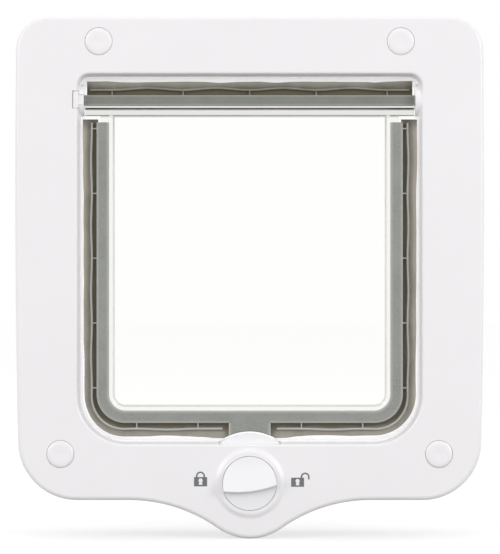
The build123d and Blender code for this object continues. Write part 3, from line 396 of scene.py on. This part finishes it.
def besideEdge(run, reach, side, s):
    # down the straight side, a quarter circle round the corner, then along the foot; reach is measured outwards
    sideRun = s["top"] - s["foot"] - s["corner"]
    cornerRun = (s["corner"] + s["cornerOut"]) * np.pi / 2
    angle = np.clip((run - sideRun) / cornerRun, 0, 1) * np.pi / 2
    along = np.clip(run - sideRun - cornerRun, 0, None)
    x = s["half"] - s["corner"] + (s["corner"] + reach) * np.cos(angle) - along
    z = s["foot"] + s["corner"] - (s["corner"] + reach) * np.sin(angle) + np.clip(sideRun - run, 0, None)
    return side * x, z


def aboveRail(run, reach, s):
    # along the rail; reach is measured upwards
    return run + 0 * reach, s["railTop"] + reach + 0 * run


def finReach(run, s):
    # the keyed reach at each tie, bowed out between two ties by (1 - cos) / 2 of the way from one to the next
    way = np.interp(run, s["ties"], np.arange(len(s["ties"])))
    return smoothKeys(run, s["finReach"]) + s["finWave"] * (1 - np.cos(2 * np.pi * way)) / 2


def filmShell(place, runs, outer, seed):
    # ring of 2n points: front face from root to edge, then back face from edge to root
    # thins in line with the reach, and sways by the reach squared times a ripple along the run
    s = lipSet
    share = np.linspace(0, 1, s["filmSteps"]) ** s["filmBunch"]
    share = np.concatenate([share, share[::-1]])[None, :]
    front = np.repeat([1, -1], s["filmSteps"])[None, :]
    reach = s["root"] + (outer[:, None] - s["root"]) * share
    ofFull = np.clip(reach / s["fullReach"], 0, 1)
    thick = s["filmRoot"] + (s["filmEdge"] - s["filmRoot"]) * ofFull
    thick = thick * np.sqrt(np.clip(1 + s["edgeLeft"] - share ** s["edgePower"], 0, 1))  # rounded edge
    sway = s["sway"] * ofFull ** 2 * ripple(runs, seed, *s["swayRuns"])[:, None]
    x, z = place(runs[:, None], reach)
    y = -s["ahead"] - sway - front * thick / 2
    return sweptShell(np.stack([x + 0 * y, y, z + 0 * y], -1)), ofFull


def finShell(place, runs, reach):
    # strip that stands through the film, with half a circle on each rim, carried along the wavy line
    s = lipSet
    t = np.linspace(0, np.pi, s["beadSteps"])
    radius = s["finThick"] / 2
    across = np.concatenate([np.cos(t), -np.cos(t)]) * radius
    deep = s["finHalf"] - radius + radius * np.sin(t)
    deep = np.concatenate([deep, -deep])
    # ring order starts in the middle of a rim, so that mirror points face each other
    turn = (s["beadSteps"] + 1) // 2
    across, deep = np.roll(across, turn)[None, :], np.roll(deep, turn)[None, :]
    x, z = place(runs[:, None], reach[:, None] + radius + across)
    y = -s["ahead"] - deep + 0 * x
    return sweptShell(np.stack([x, y, z + 0 * y], -1))


def tieShell(place, run, reach):
    # small web from the edging to the fin, drawn in by half a sine on all four sides
    s = lipSet
    t = np.linspace(0, 1, s["tieSteps"])[:, None]
    drawn = np.sin(np.pi * t)
    ring = np.array([(1, 1), (1, -1), (-1, -1), (-1, 1)], float)
    along = run + ring[None, :, 0] * s["tieThick"] / 2 * (1 - s["tieWaist"] * drawn)
    x, z = place(along, s["tieStart"] + (reach + s["finThick"] / 2 - s["tieStart"]) * t + 0 * along)
    y = -s["ahead"] - ring[None, :, 1] * (s["tieHalf"] - s["tieCut"] * drawn)
    return sweptShell(np.stack([x + 0 * y, y + 0 * x, z + 0 * y], -1))


def makeLip(name, node, place, filmRuns, outer, finRuns, s, seed):
    film, filmValue = filmShell(place, filmRuns, outer, seed)
    # painted light and shade of the film: reach to a power, times the keyed painted shade; past the middle tone it
    # pales by the keyed gain of painted light
    filmValue = filmValue ** s["filmPower"] * smoothKeys(filmRuns, s["filmTone"])[:, None]
    middle = np.minimum(filmValue, sealSet["middleAt"])
    filmValue = middle + (filmValue - middle) * smoothKeys(filmRuns, s["edgeGain"])[:, None]
    shells = [film, finShell(place, finRuns, finReach(finRuns, s))]
    shells += [tieShell(place, run, finReach(run, s)) for run in s["ties"]]
    ringSize = len(shells[1][0]) // len(finRuns)
    # the fin and ties carry a keyed share of the painted highlight: strong on the sides and foot, faint along the top
    onFin = [np.zeros(len(film[0])), np.repeat(smoothKeys(finRuns, s["finTone"]), ringSize)]
    onFin += [np.full(len(tie[0]), smoothKeys(run, s["finTone"])) for tie, run in zip(shells[2:], s["ties"])]
    # each point's place on the ramp of painted light and shade
    filmReach = [filmValue.ravel()] + [np.full(len(points), lipSet["underFin"]) for points, _ in shells[1:]]
    lip = makePiece(name, shells, greyElastomer, "flap", filmReach=filmReach, onFin=onFin)
    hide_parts(node)


for side, name, node in ((-1, "seal_left", "lip_left"), (1, "seal_right", "lip_right")):
    s = sideSet
    runs = np.linspace(0, s["lastRun"], s["steps"])
    x, z = besideEdge(runs, 0 * runs, 1, s)
    # near the tab, the film stops short of the round head of the bolt
    headTop = s["headZ"] + np.sqrt(np.clip(s["headRadius"] ** 2 - x ** 2, 0, None))
    room = np.where(x < s["headHalf"], s["foot"] - headTop, np.inf)
    outer = smoothKeys(runs, s["reach"]) + smoothKeys(runs, s["trims"][name])
    outer = np.minimum(outer + s["wave"] * ripple(runs, s["waveSeed"] + side, *s["waveRuns"]), room)
    makeLip(name, node, lambda run, reach, side=side: besideEdge(run, reach, side, sideSet), runs, outer,
            np.linspace(*s["finRun"], s["steps"]), s, s["swaySeed"] + side)

s = topSet
runs = np.linspace(-s["half"], s["half"], s["steps"])
makeLip("seal_top", "top_lip", lambda run, reach: aboveRail(run, reach, topSet), runs,
        smoothKeys(runs, s["reach"]) + s["wave"] * ripple(runs, s["waveSeed"], *s["waveRuns"]),
        np.linspace(-s["finHalfRun"], s["finHalfRun"], s["steps"]), s, s["swaySeed"])
print("lips made")


# Printed padlock signs beside the knob
signSet = dict(face=14.0, thick=0.05, sunk=0.01, keyRadius=0.95, stemTop=0.55, stemFoot=0.85, stemDrop=1.95,
               keySteps=144, bow=0.68, bowSteps=40)
lockedSign = dict(x=-22.1, top=-98.15, foot=-102.3, half=2.95, keyZ=-99.65, bowX=-22.15, bowHalf=2.03, bowTop=-95.65,
                  legs=(-98.3, -98.3))
openSign = dict(x=21.55, top=-98.4, foot=-102.5, half=2.9, keyZ=-99.9, bowX=24.95, bowHalf=2.0, bowTop=-96.1,
                legs=(-98.55, -99.2))


def signBody(s, k):
    # plate between a rectangle and a keyhole: both outlines are radii from the keyhole's centre, by angle
    top, foot = s["top"] - s["keyZ"], s["foot"] - s["keyZ"]
    left, right = -s["half"], s["half"]
    corners = np.arctan2([top, top, foot, foot], [right, left, left, right])
    stemCorners = np.arctan2([-k["stemDrop"]] * 2, [k["stemFoot"], -k["stemFoot"]])
    turn = np.linspace(-np.pi, np.pi, k["keySteps"], endpoint=False)
    angle = np.unique(np.concatenate([turn, corners, stemCorners]))
    c, d = np.cos(angle), np.sin(angle)
    tiny = 1e-9
    outline = np.minimum(np.where(c > 0, right, -left) / np.clip(np.abs(c), tiny, None),
                         np.where(d > 0, top, -foot) / np.clip(np.abs(d), tiny, None))
    slope = (k["stemFoot"] - k["stemTop"]) / k["stemDrop"]
    down = np.clip(-d, 0, None)
    stemSide = k["stemTop"] / np.clip(np.abs(c) - slope * down, tiny, None)
    stem = np.where(d < 0, np.minimum(stemSide, k["stemDrop"] / np.clip(down, tiny, None)), 0)
    keyhole = np.maximum(k["keyRadius"], stem)
    radius = np.stack([outline, keyhole, keyhole, outline], -1)
    y = -np.repeat([k["face"] + k["thick"], k["face"] - k["sunk"]], 2)
    points = np.stack([s["x"] + radius * c[:, None], y[None, :] + 0 * radius, s["keyZ"] + radius * d[:, None]], -1)
    points = np.concatenate([points, points[:1]])  # last row repeats the first, and is merged in makePiece
    return points.reshape(-1, 3), gridFaces(len(points), 4)


def signBow(s, k):
    # flat strip: up one leg, over a half circle, down the other leg
    radius = s["bowHalf"] - k["bow"] / 2
    centre = s["bowTop"] - s["bowHalf"]
    angle = np.linspace(np.pi, 0, k["bowSteps"])
    x = np.concatenate([[-radius], radius * np.cos(angle), [radius]])
    z = np.concatenate([[s["legs"][0]], centre + radius * np.sin(angle), [s["legs"][1]]])
    outX = np.concatenate([[-1], np.cos(angle), [1]])
    outZ = np.concatenate([[0], np.sin(angle), [0]])
    ring = np.array([(1, 1), (-1, 1), (-1, 0), (1, 0)], float)
    px = s["bowX"] + x[:, None] + outX[:, None] * ring[None, :, 0] * k["bow"] / 2
    pz = z[:, None] + outZ[:, None] * ring[None, :, 0] * k["bow"] / 2
    py = -(k["face"] - k["sunk"] + ring[None, :, 1] * (k["thick"] + k["sunk"])) + 0 * px
    return sweptShell(np.stack([px, py, pz], -1))


for name, sign in (("sign_locked", lockedSign), ("sign_open", openSign)):
    makePiece(name, [signBody(sign, signSet), signBow(sign, signSet)], greyPrintingInk, "frame", sharp=30)
print("signs made")


# Stage: pale floor under the object, white world, soft lamps, camera square to the front
stageSet = dict(floor=-126.0, floorSize=12.0, floorColour="B0B0AF", floorGlow=0.668, floorShare=0.36)
worldSet = dict(level=0.78, rise=0.16, behind=0.06)
lampSet = dict(left=dict(place=(-1.4, -1.2, 0.5), size=0.9, power=9.1),
               right=dict(place=(1.4, -1.2, 0.5), size=0.9, power=10.7),
               back=dict(place=(0.0, 1.2, 0.1), size=2.6, power=6.5))
cameraSet = dict(distance=1.3, height=249.3, aimX=0.135, aimZ=-8.1, face=14.0)


def whiteRays(tree):
    # 1 for what the camera, a mirror or a clear pane looks at, 0 for the light that falls on things
    rays = addNode(tree, "ShaderNodeLightPath")
    either = addNode(tree, "ShaderNodeMath", {0: rays.outputs["Is Camera Ray"], 1: rays.outputs["Is Glossy Ray"]},
                     operation="MAXIMUM")
    return addNode(tree, "ShaderNodeMath", {0: either.outputs[0], 1: rays.outputs["Is Transmission Ray"]},
                   operation="MAXIMUM").outputs[0]


floorMesh = bpy.data.meshes.new("floor")
half = stageSet["floorSize"] / 2
floorMesh.from_pydata([(-half, -half, 0), (half, -half, 0), (half, half, 0), (-half, half, 0)], [], [(0, 1, 2, 3)])
floorMesh.transform(Matrix.Translation((0, 0, stageSet["floor"] * mm)))
floor = bpy.data.objects.new("floor", floorMesh)
bpy.context.scene.collection.objects.link(floor)
paleFloor, tree = newMaterial("paleFloor")
lit = addNode(tree, "ShaderNodeBsdfDiffuse", {"Color": linearColour(stageSet["floorColour"])})
faint = addNode(tree, "ShaderNodeBsdfDiffuse", {"Color": (stageSet["floorShare"],) * 3 + (1,)})
glow = addNode(tree, "ShaderNodeEmission", {"Strength": stageSet["floorGlow"]})
seen = addNode(tree, "ShaderNodeAddShader", {0: faint.outputs["BSDF"], 1: glow.outputs["Emission"]})
mixed = addNode(tree, "ShaderNodeMixShader", {0: whiteRays(tree), 1: lit.outputs["BSDF"], 2: seen.outputs["Shader"]})
addNode(tree, "ShaderNodeOutputMaterial", {"Surface": mixed.outputs["Shader"]})
floorMesh.materials.append(paleFloor)

# the world's light rises a little upwards and from behind; what looks at it sees plain white
world = bpy.data.worlds.new("studio")
bpy.context.scene.world = world
world.use_nodes = True
tree = world.node_tree
tree.nodes.clear()
towards = addNode(tree, "ShaderNodeSeparateXYZ", {0: addNode(tree, "ShaderNodeTexCoord").outputs["Generated"]})
level = addNode(tree, "ShaderNodeMath", {0: towards.outputs["Z"], 1: worldSet["rise"], 2: worldSet["level"]},
                operation="MULTIPLY_ADD")
level = addNode(tree, "ShaderNodeMath", {0: towards.outputs["Y"], 1: worldSet["behind"], 2: level.outputs[0]},
                operation="MULTIPLY_ADD")
light = addNode(tree, "ShaderNodeBackground", {"Color": (1, 1, 1, 1), "Strength": level.outputs[0]})
white = addNode(tree, "ShaderNodeBackground", {"Color": (1, 1, 1, 1), "Strength": 1.0})
mixed = addNode(tree, "ShaderNodeMixShader", {0: whiteRays(tree), 1: light.outputs["Background"],
                                              2: white.outputs["Background"]})
addNode(tree, "ShaderNodeOutputWorld", {"Surface": mixed.outputs["Shader"]})

for name, s in lampSet.items():
    lamp = bpy.data.lights.new(name, "AREA")
    lamp.shape, lamp.size, lamp.energy = "DISK", s["size"], s["power"]
    holder = bpy.data.objects.new(name, lamp)
    holder.location = s["place"]
    holder.rotation_euler = (-Vector(s["place"])).to_track_quat("-Z", "Y").to_euler()
    holder.visible_camera = holder.visible_transmission = False  # the pane shows the background, not a lamp
    bpy.context.scene.collection.objects.link(holder)

camera = bpy.data.cameras.new("camera")
camera.lens = camera.sensor_width * cameraSet["distance"] / (cameraSet["height"] * mm)
cameraHolder = bpy.data.objects.new("camera", camera)
cameraHolder.location = (cameraSet["aimX"] * mm, -cameraSet["face"] * mm - cameraSet["distance"],
                         cameraSet["aimZ"] * mm)
cameraHolder.rotation_euler = (np.pi / 2, 0, 0)
bpy.context.scene.collection.objects.link(cameraHolder)
bpy.context.scene.camera = cameraHolder
bpy.context.scene.view_settings.view_transform = "Standard"
print("stage, lamps and camera set")
